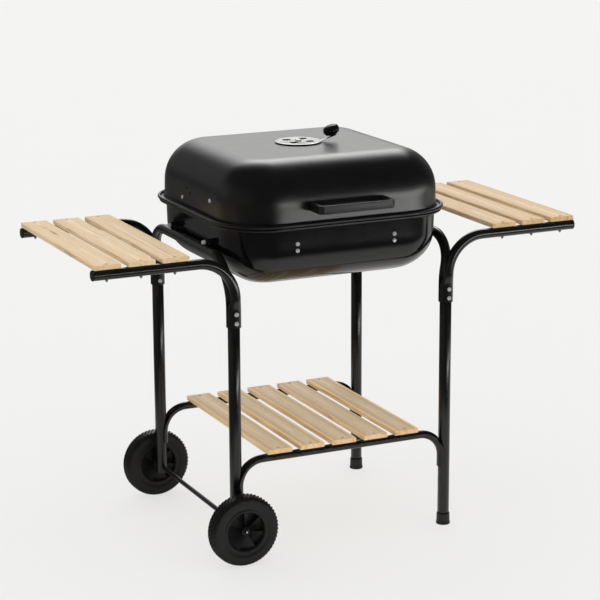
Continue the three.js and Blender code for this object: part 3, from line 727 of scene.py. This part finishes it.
def cut(made, *cutters):
    """Takes closed (verts, faces) shapes out of a piece, for good."""
    tool_mesh = bpy.data.meshes.new("cutter")
    verts, faces = merged(*cutters)
    tool_mesh.from_pydata(verts, [], faces)
    shape = bmesh.new()
    shape.from_mesh(tool_mesh)
    bmesh.ops.remove_doubles(shape, verts=shape.verts, dist=1e-7)
    bmesh.ops.recalc_face_normals(shape, faces=shape.faces)
    shape.to_mesh(tool_mesh)
    shape.free()
    tool = bpy.data.objects.new("cutter", tool_mesh)
    bpy.context.collection.objects.link(tool)
    saw = made.modifiers.new("cut", "BOOLEAN")
    saw.operation = "DIFFERENCE"
    saw.solver = "EXACT"
    saw.use_self = False
    saw.object = tool
    depsgraph = bpy.context.evaluated_depsgraph_get()
    result = bpy.data.meshes.new_from_object(made.evaluated_get(depsgraph))
    made.modifiers.remove(saw)
    made.data = result
    bpy.data.objects.remove(tool)
    bpy.data.meshes.remove(tool_mesh)


dull_zinc = Finish("dull_zinc_plate", (0.3, 0.31, 0.34), Roughness=0.45, Metallic=0.6)
dull_zinc.wear(dull_zinc.noise(700, 3), (0.24, 0.25, 0.28), (0.36, 0.37, 0.4), 0.36, 0.2, 0.00004)


def slat(name, number, group_start, tube_under, through):
    low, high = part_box(name)
    made = piece(f"{name}_board", "stand", "wood", timber, *box_shape(low, high), [name], sharp=30,
                 bevel=1.3 * MM, bevel_steps=3)
    tone_of = made.data.attributes.new("board", "FLOAT", "POINT")
    tone_of.data.foreach_set("value", [group_start + number * 0.618 % 1 * 9] * len(made.data.vertices))
    x = (low[0] + high[0]) / 2
    sinks = []
    for row, end_y in (("front", tube_under[0]), ("back", tube_under[1])):
        top = Vector((x, end_y, high[2]))
        sinks.append(turned([(0, -3.4), (2.2, -3.4), (4.7, -0.5), (4.7, 1), (0, 1)], 24, top))
        under = high[2] - low[2] + 2 * tube_under[2] + 0.001
        parts = [screw_head(4.3, 0.9, top - Z * 0.0016, Z),
                 turned([(0, -3.3), (2, -3.3), (4.3, -1.6), (0, -1.6)], 24, top)]
        if through:
            parts += [shank(1.9, 4.2, top - Z * under, -Z), hexagon(5.5, 2.4, top - Z * under, -Z)]
        piece(f"{name}_screw_{row}", "stand", "zinc_steel", dull_zinc, *merged(*parts), sharp=32)
    cut(made, *sinks)


front_arm_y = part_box("arm_plug_front_left")[0][1] + 11 * MM
back_arm_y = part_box("arm_plug_back_left")[1][1] - 11 * MM
for number in range(1, 4):
    slat(f"table_slat_left_{number}", number, LEFT_BOARDS, (front_arm_y, back_arm_y, ARM_RADIUS), True)
    slat(f"table_slat_right_{number}", number + 4, RIGHT_BOARDS, (front_arm_y, back_arm_y, ARM_RADIUS), True)
rail_y = (middle("leg_front_left").y, middle("leg_back_left").y)
for number in range(1, 6):
    slat(f"shelf_slat_{number}", number + 9, SHELF_BOARDS, (*rail_y, RAIL_RADIUS), False)

# ------------------------------------------------------------------------------------------------
# Bowl: one deep pressing in 1.4 mm steel with a rolled rim, in glossy black enamel. It hangs by four
# bolts through its side walls, whose sleeves lie on the cradle tubes.
bowl_enamel = Finish("bowl_enamel", (0.002, 0.002, 0.002), Roughness=0.12)
flow = bowl_enamel.noise(140, 3)
bowl_enamel.feed(
    Base_Color=bowl_enamel.ramp(flow, (0.3, (0.0015, 0.0015, 0.0015)), (0.75, (0.003, 0.003, 0.003))),
    Roughness=0.09 + 0.1 * bowl_enamel.noise(30, 4, 0.6),
    Normal=bowl_enamel.bump(flow, 0.00018, 0.35))

CORNER_STEPS, MIN_CORNER = 14, 34.0
SIDE_STEPS = 12
WALL_STEPS = 6


def level_ring(half_x, half_y, corner, z):
    """A level rounded rectangle about the bowl's middle. Millimetres."""
    ring = []
    for quarter, (sx, sy) in enumerate(((1, 1), (-1, 1), (-1, -1), (1, -1))):
        for i in range(CORNER_STEPS + 1):
            angle = (quarter + i / CORNER_STEPS) * math.pi / 2
            ring.append(Vector((sx * (half_x - corner) + corner * math.cos(angle),
                                sy * (half_y - corner) + corner * math.sin(angle), z)) * MM
                        + Y * DEPTH_MIDDLE)
    fine = []
    for k, here in enumerate(ring):
        fine.append(here)
        if (k + 1) % (CORNER_STEPS + 1) == 0:
            following = ring[(k + 1) % len(ring)]
            fine += [here.lerp(following, i / SIDE_STEPS) for i in range(1, SIDE_STEPS)]
    return fine


def lean(depth, whole, draft):
    """How far a wall leans in at a depth from the seam, so that the pressing leaves its die."""
    return draft * depth * (1 - depth / whole)


def pressed_skin(half_x, half_y, corner, fold_in, fold_height, flat_z, seam_z, draft, inward, steps=20):
    """Rings of one skin of a pressing, from its flat middle round the fold and along the wall."""
    up = 1 if seam_z > flat_z else -1
    whole = abs(seam_z - flat_z)
    rings = []
    for i in range(steps + 1):
        angle = (1 - i / steps) * math.pi / 2
        height = fold_height * (1 - math.sin(angle)) + inward * math.sin(angle)
        inset = fold_in * (1 - math.cos(angle)) + inward * math.cos(angle)
        inset += lean(whole - height, whole, draft)
        rings.append(level_ring(half_x - inset, half_y - inset, max(corner - inset, MIN_CORNER),
                                flat_z + up * height))
    for i in range(1, WALL_STEPS):
        height = fold_height + (whole - RIM_DEPTH - fold_height) * i / WALL_STEPS
        inset = inward + lean(whole - height, whole, draft)
        rings.append(level_ring(half_x - inset, half_y - inset, corner - inset, flat_z + up * height))
    return rings


# The rolled rim as (outwards from the wall, away from the seam), from the wall's outside round the
# bead to the wall's inside. Millimetres.
BEAD = 3.3
RIM_REACH = 14.7
SHEET = 1.4
RIM_DEPTH = 6.2


def rim_profile():
    centre = (RIM_REACH - BEAD, BEAD + 0.1)
    bead = [(centre[0] + BEAD * math.cos(a), centre[1] - BEAD * math.sin(a))
            for a in (math.radians(-140 + i * 230 / 14) for i in range(15))]
    root = [(0, RIM_DEPTH), (0.15, 4.2), (0.8, 2.7), (2.2, 1.7), (4, 1.5), (7.6, 1.5)]
    inside = [(2.2, 0.1), (0.4, 0.5), (-0.8, 1.7), (-SHEET, 3.6), (-SHEET, RIM_DEPTH)]
    return root + bead + inside


def pressing_shape(half_x, half_y, corner, fold_in, fold_height, draft, flat_z, seam_z, crown):
    """A whole pressing: outside skin, rolled rim and inside skin. crown is a list of (half extent,
    height above the flat) rings on the flat middle, from its centre outwards."""
    up = 1 if seam_z > flat_z else -1
    outer = pressed_skin(half_x, half_y, corner, fold_in, fold_height, flat_z, seam_z, draft, 0)
    inner = pressed_skin(half_x, half_y, corner, fold_in, fold_height, flat_z, seam_z, draft, SHEET)
    whole = abs(seam_z - flat_z)
    rim = []
    for out, away in rim_profile():
        out -= lean(away, whole, draft)
        rim.append(level_ring(half_x + out, half_y + out, corner + out, seam_z - up * away))
    centre_out, centre_in = [], []
    for half, rise in crown:
        square = smooth((half - 60) / 70)
        shape = (half, half * (1 - 0.06 * square), half * (1 - 0.18 * square))
        centre_out.append(level_ring(*shape, flat_z - up * rise))
        centre_in.append(level_ring(*shape, flat_z - up * (rise - SHEET)))
    return loft(centre_out + outer + rim + list(reversed(inner)) + list(reversed(centre_in)))


low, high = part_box("bowl")
SEAM_Z, BOWL_BOTTOM = high[2] / MM, low[2] / MM
BOWL = {"half_x": 242.6, "half_y": 231.3, "corner": 98.0, "fold_in": 110.0, "fold_height": 84.3,
        "draft": 0.06}
piece("bowl_pressing", "stand", "bowl_enamel", bowl_enamel,
      *pressing_shape(*BOWL.values(), BOWL_BOTTOM, SEAM_Z, [(40, -0.4), (80, -0.3), (110, -0.1)]),
      ["bowl"], sharp=60)

# Bowl bolts: one screw through each end of each side wall, with the sleeve that lies on the cradle.
for row in ("front", "back"):
    for side, side_x in SIDES:
        name = f"bowl_bolt_{row}_{side}"
        low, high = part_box(name)
        spot = middle(name)
        leant = lean(SEAM_Z - spot.z / MM, SEAM_Z - BOWL_BOTTOM, BOWL["draft"])
        wall_x = side_x * (BOWL["half_x"] - leant) * MM
        start = Vector((wall_x + side_x * 0.3 * MM, spot.y, spot.z))
        head_at = Vector((wall_x - side_x * 2.3 * MM, spot.y, spot.z))
        sleeve = [(4, 0), (6.2, 0), (6.5, 0.4), (6.5, 14.6), (6.2, 15), (4, 15)]
        piece(f"{name}_screw", "stand", "zinc_steel", zinc,
              *merged(screw_head(7, 4, head_at, -X * side_x), shank(3.8, 22, start, X * side_x)),
              [name], sharp=32)
        piece(f"{name}_sleeve", "stand", "frame_paint", frame_paint,
              *turned(sleeve, 32, start, X * side_x, closed=True))


def wall_screw(at, nut_at, axis):
    """A domed head outside a wall, with its nut inside."""
    return merged(screw_head(4.4, 2.8, at, axis), hexagon(7, 2.6, nut_at, -axis))


# Grate brackets: zinc-plated angle strips on the bowl's front and back walls. Two screws hold each,
# and their domed heads show on the outside.
BRACKET_SCREWS = (0.6575, 0.6435)
for row, side_y in ROWS:
    for side in ("left", "right"):
        name = f"grate_bracket_{row}_{side}"
        low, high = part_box(name)
        spot = middle(name)
        wall_y = high[1] if side_y > 0 else low[1]
        thick = 2 * MM
        plate = (Vector((low[0], min(wall_y, wall_y - side_y * thick), low[2])),
                 Vector((high[0], max(wall_y, wall_y - side_y * thick), high[2] - thick)))
        ledge = (Vector((low[0], low[1], high[2] - thick)), Vector((high[0], high[1], high[2])))
        piece(f"{name}_angle", "stand", "zinc_steel", zinc,
              *merged(box_shape(*plate), box_shape(*ledge)), [name], sharp=30, bevel=0.4 * MM)
        for number, z in enumerate(BRACKET_SCREWS, 1):
            leant = lean(SEAM_Z - z / MM, SEAM_Z - BOWL_BOTTOM, BOWL["draft"])
            at = Vector((spot.x, DEPTH_MIDDLE + side_y * (BOWL["half_y"] - leant + 0.1) * MM, z))
            nut_at = Vector((spot.x, wall_y - side_y * thick, z))
            piece(f"{name}_screw_{number}", "stand", "zinc_steel", zinc,
                  *wall_screw(at, nut_at, Y * side_y), sharp=32)

# ------------------------------------------------------------------------------------------------
# Grates: nickel-plated steel bars welded across a bent frame bar. The cooking grate lies on the
# brackets and the coarser charcoal grate on the bowl's fold.
nickel = Finish("nickel_plate", (0.55, 0.55, 0.54), Roughness=0.26, Metallic=1.0)
nickel.wear(nickel.noise(420, 3), (0.42, 0.42, 0.41), (0.62, 0.615, 0.6), 0.28, 0.1, 0.00004)


def bar_along(points, radius, looped=False, sides=10):
    """A round bar through level points."""
    rings = []
    count = len(points)
    for k, here in enumerate(points):
        before = points[(k - 1) % count] if looped or k else here
        after = points[(k + 1) % count] if looped or k < count - 1 else here
        along = (after - before).normalized()
        across = along.cross(Z).normalized()
        rings.append([here + (across * math.cos(TAU * i / sides) + Z * math.sin(TAU * i / sides)) * radius
                      for i in range(sides)])
    return loft(rings, looped=looped)


def grate(name, body, corner, bar, pitch, frame_bar, bars):
    low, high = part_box(name)
    half_x, half_y = (high[0] - low[0]) / 2 / MM, (high[1] - low[1]) / 2 / MM
    frame_z = low[2] / MM + frame_bar / 2
    inset = frame_bar / 2
    loop = level_ring(half_x - inset, half_y - inset, corner - inset, frame_z)
    parts = [bar_along(loop, inset * MM, looped=True)]
    for i in range(bars):
        x = (i - (bars - 1) / 2) * pitch
        past = max(0, abs(x) - (half_x - corner))
        end = half_y - corner + math.sqrt(corner ** 2 - past ** 2) - frame_bar * 0.6
        z = low[2] / MM + 1 + bar / 2
        parts.append(bar_along([Vector((x * MM, DEPTH_MIDDLE + side * end * MM, z * MM)) for side in (-1, 1)],
                               bar / 2 * MM))
    for side in (-1, 1):
        y = side * half_y * 0.45
        reach = half_x - frame_bar * 0.7
        z = low[2] / MM + 1 + bar / 2
        parts.append(bar_along([Vector((s * reach * MM, DEPTH_MIDDLE + y * MM, z * MM)) for s in (-1, 1)],
                               bar * 0.4 * MM))
    return piece(f"{name}_bars", body, "grate_wire", nickel, *merged(*parts), [name])


grate("cooking_grate", "cooking_grate", 88, 5, 25, 7, 17)
grate("charcoal_grate", "charcoal_grate", 76, 6, 32, 8, 13)

# ------------------------------------------------------------------------------------------------
# Lid: a domed pressing like the bowl, in satin black enamel. A round boss on its crown has four round
# holes under the vent disc, and its left side has two screws and two small openings.
lid_enamel = Finish("lid_enamel", (0.003, 0.003, 0.003), Roughness=0.28)
speckle = lid_enamel.noise(170, 2)
cloud = lid_enamel.noise(24, 4, 0.6)
lid_enamel.feed(
    Base_Color=lid_enamel.ramp(cloud, (0.3, (0.0025, 0.0025, 0.0025)), (0.75, (0.004, 0.004, 0.004))),
    Roughness=0.277 + 0.05 * cloud,
    Normal=lid_enamel.bump(speckle, 0.00004, 0.2))

low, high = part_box("lid")
LID = {"half_x": 247.2, "half_y": 234.9, "corner": 105.7, "fold_in": 88.3, "fold_height": 85.6,
       "draft": 0.05}
LID_PAD = high[2] / MM
LID_FLAT = LID_PAD - 2.1
lid = piece("lid_pressing", "lid", "lid_enamel", lid_enamel,
            *pressing_shape(*LID.values(), LID_FLAT, low[2] / MM,
                            [(20, 2.1), (41, 2.1), (43.5, 1.8), (45.5, 0.5), (48, 0.1), (90, 0.1), (125, 0)]),
            ["lid"], sharp=60)

VENT_HOLES, HOLE_REACH = 4, 26.5


def hole_outline(number, radius, steps=32):
    """One of the vent's round holes. Millimetres."""
    middle_angle = TAU * (number + 0.5) / VENT_HOLES
    x, y = HOLE_REACH * math.cos(middle_angle), HOLE_REACH * math.sin(middle_angle)
    return [(x + radius * math.cos(TAU * k / steps), y + radius * math.sin(TAU * k / steps))
            for k in range(steps)]


def prism(outline, z0, z1):
    """A flat outline between two heights, round the bowl's middle. Millimetres."""
    return loft([[Vector((x * MM, DEPTH_MIDDLE + y * MM, z * MM)) for x, y in outline] for z in (z0, z1)])


SIDE_LEAN = 1.3
lid_side_x = -(LID["half_x"] - SIDE_LEAN) * MM
hook_hole = turned([(0, -8), (2.6, -8), (2.6, 8), (0, 8)], 24, (lid_side_x, DEPTH_MIDDLE + 6 * MM, 0.732), X)
hook_slot = box_shape(Vector((lid_side_x - 8 * MM, DEPTH_MIDDLE + 17 * MM, 0.7402)),
                      Vector((lid_side_x + 8 * MM, DEPTH_MIDDLE + 29 * MM, 0.7418)))
cut(lid, *[prism(hole_outline(i, 10.2), LID_PAD - 10, LID_PAD + 10) for i in range(VENT_HOLES)],
    hook_hole, hook_slot)
for number, (y, z) in enumerate(((48, 717), (-100, 735)), 1):
    at = Vector((lid_side_x - 0.1 * MM, DEPTH_MIDDLE + y * MM, z * MM))
    inside = at + X * (SHEET + 0.4) * MM
    piece(f"lid_side_screw_{number}", "lid", "zinc_steel", zinc,
          *wall_screw(at, inside, -X), sharp=32)

# ------------------------------------------------------------------------------------------------
# Handle: a black moulded bracket with cut-off corners on the lid's front wall, just above the rim.
# Two screws from inside the lid hold it.
low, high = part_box("lid_handle")
front_y, wall_y = low[1], high[1]
half, thick, chamfer = (high[0] - low[0]) / 2, 9 * MM, 8 * MM
right_half = [(half - chamfer, front_y), (half, front_y + chamfer), (half, wall_y), (half - thick, wall_y),
              (half - thick, front_y + thick + chamfer / 2), (half - thick - chamfer / 2, front_y + thick)]
outline = right_half + [(-x, y) for x, y in reversed(right_half)]
piece("lid_handle_moulding", "lid", "black_plastic", moulded,
      *loft([[Vector((x, y, z)) for x, y in outline] for z in (low[2], high[2])]), ["lid_handle"],
      sharp=30, bevel=1.2 * MM, bevel_steps=3)
for number, x in enumerate((-half + thick / 2, half - thick / 2), 1):
    at = Vector((x, wall_y + (SHEET + 0.8) * MM, (low[2] + high[2]) / 2))
    piece(f"handle_screw_{number}", "lid", "zinc_steel", zinc, *screw_head(4.4, 2.8, at, Y), sharp=32)

# ------------------------------------------------------------------------------------------------
# Vent: a bright steel disc with a raised lip and four round holes, which turns on a rivet over the
# lid's own holes. A strip slopes up from its edge and carries a black knob.
bright = Finish("bright_sheet_steel", (0.33, 0.33, 0.33), Roughness=0.2, Metallic=0.75)
here = bright.place((1, 1, 0), (0, -DEPTH_MIDDLE, 0))
radius_of = bright.node("ShaderNodeVectorMath", {"operation": "LENGTH"}, {0: here}, output="Value")
turned_line = bright.noise(1, 3, 0.6, bright.join(1400 * radius_of, 0.0, 0.0))
bright.feed(
    Base_Color=bright.ramp(bright.noise(60, 3), (0.3, (0.27, 0.27, 0.27)), (0.7, (0.36, 0.36, 0.355))),
    Roughness=0.14 + 0.12 * turned_line,
    Normal=bright.bump(turned_line, 0.00004, 0.5))

disc_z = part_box("vent_damper")[0][2]
disc_profile = [(0, 0), (48.8, 0), (49.6, -0.1), (50, 0.2), (49.8, 0.7), (49, 1.05), (47.6, 1.35), (46, 1.5),
                (44.6, 1.4), (43.4, 1.2), (0, 1.2)]
disc = piece("vent_disc_sheet", "vent", "vent_steel", bright,
             *turned([(r, z + 0.1) for r, z in disc_profile], 120, (0, DEPTH_MIDDLE, disc_z)),
             ["vent_damper"])
disc_height = disc_z / MM
cut(disc, *[prism(hole_outline(i, 9.5), disc_height - 5, disc_height + 5) for i in range(VENT_HOLES)])

LEVER_TURN = Matrix.Rotation(math.radians(-14), 4, "Z")
LEVER_SLOPE = math.radians(20)
LEVER_BEND, LEVER_END, KNOB_REACH = 50, 86, 75
path = [(42, 0.6), (LEVER_BEND - 1.5, 0.6), (LEVER_BEND, 0.75), (LEVER_BEND + 1.5, 1.2)]
path += [(run, 0.6 + (run - LEVER_BEND) * math.tan(LEVER_SLOPE))
         for run in (55, 60, 66, 72, 78, 82, LEVER_END)]
sections = []
for k, (run, rise) in enumerate(path):
    half_width = 8 if run < 80 else (7 if run < LEVER_END else 4.5)
    before, after = path[max(k - 1, 0)], path[min(k + 1, len(path) - 1)]
    slope = Vector((after[0] - before[0], after[1] - before[1])).normalized()
    ring = []
    for across, through in ((-half_width, -0.6), (half_width, -0.6), (half_width, 0.6), (-half_width, 0.6)):
        spot = Vector((run - slope.y * through, across, rise + slope.x * through)) * MM
        ring.append(LEVER_TURN @ spot + Vector((0, DEPTH_MIDDLE, disc_z)))
    sections.append(ring)
piece("vent_lever_strip", "vent", "vent_steel", bright, *loft(sections), sharp=30, bevel=0.25 * MM)

knob_seat = Vector((KNOB_REACH, 0, (KNOB_REACH - LEVER_BEND) * math.tan(LEVER_SLOPE) + 1.8)) * MM
knob_seat = LEVER_TURN @ knob_seat + Vector((0, DEPTH_MIDDLE, disc_z))
knob_axis = LEVER_TURN.to_3x3() @ Vector((-math.sin(LEVER_SLOPE), 0, math.cos(LEVER_SLOPE)))
FLUTES, KNOB_STEPS = 12, 96
knob_profile = [(0, 0), (6.6, 0), (7.2, 0.6), (10.4, 1.4), (13.8, 3.2), (16, 5.6), (17.2, 8.4),
                (17.5, 11.2), (17.2, 14), (16, 17), (13.6, 19.4), (10, 21), (5, 21.8), (0, 22)]
knob_rings = []
for radius, height in knob_profile:
    ring = []
    for k in range(KNOB_STEPS):
        angle = TAU * k / KNOB_STEPS
        flute = max(0, math.cos(FLUTES * angle)) ** 2 * smooth((radius - 11) / 5)
        reach = radius - 1.1 * flute
        spot = Vector((reach * math.cos(angle), reach * math.sin(angle), height)) * MM
        ring.append(Z.rotation_difference(knob_axis) @ spot + knob_seat)
    knob_rings.append(ring)
knob_finish = Finish("knob_plastic", (0.005, 0.005, 0.005), Roughness=0.25, Specular_IOR_Level=0.15)
knob_finish.wear(knob_finish.noise(300, 3), (0.003, 0.003, 0.003), (0.006, 0.006, 0.006), 0.1, 0.16,
                 0.00005)
piece("vent_knob_moulding", "vent", "black_plastic", knob_finish,
      *loft(knob_rings, capped=False), ["vent_knob"])
piece("vent_knob_screw", "vent", "zinc_steel", zinc,
      *screw_head(4, 1.8, knob_seat - knob_axis * 1.9 * MM, -knob_axis), sharp=32)

low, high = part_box("vent_rivet")
rivet = [(0, 0), (5.4, 0), (6, 0.6), (6, 1.7), (3.3, 2)]
top = (high[2] - low[2]) / MM
rivet += [(3.3, top - 3.2), (7, top - 3.2), (6.9, top - 2.2), (6, top - 1), (4, top - 0.2), (0, top)]
piece("vent_rivet_body", "lid", "zinc_steel", zinc,
      *turned(rivet, 40, (0, DEPTH_MIDDLE, low[2])), ["vent_rivet"])

# ------------------------------------------------------------------------------------------------
# Hinges: two at the back, each of two bent steel leaves in the frame's black on one pin. Two rivets
# hold each leaf to its wall.
for side in ("left", "right"):
    for leaf, body, up in (("bowl", "stand", -1), ("lid", "lid", 1)):
        name = f"hinge_{leaf}_leaf_{side}"
        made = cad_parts[name]
        for holder in made.material_slots:
            holder.link = "OBJECT"
            holder.material = frame_paint.material
        low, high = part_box(name)
        for number, dx in enumerate((-11, 11), 1):
            z = low[2] + 17 * MM if up < 0 else high[2] - 13 * MM
            at = Vector((middle(name).x + dx * MM, low[1] + 2 * MM, z))
            piece(f"{name}_rivet_{number}", body, "zinc_steel", zinc,
                  *screw_head(3.6, 2, at, Y, recess=False), sharp=32)
    name = f"hinge_pin_{side}"
    low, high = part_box(name)
    spot = middle(name)
    length = (high[0] - low[0]) / MM
    pin = [(0, 0), (3.4, 0), (3.6, 0.5), (3.4, 1.2), (2.5, 1.5), (2.5, length - 0.6), (2.1, length),
           (0, length)]
    piece(f"{name}_rod", "stand", "zinc_steel", zinc,
          *turned(pin, 24, (low[0], spot.y, spot.z), X), [name])
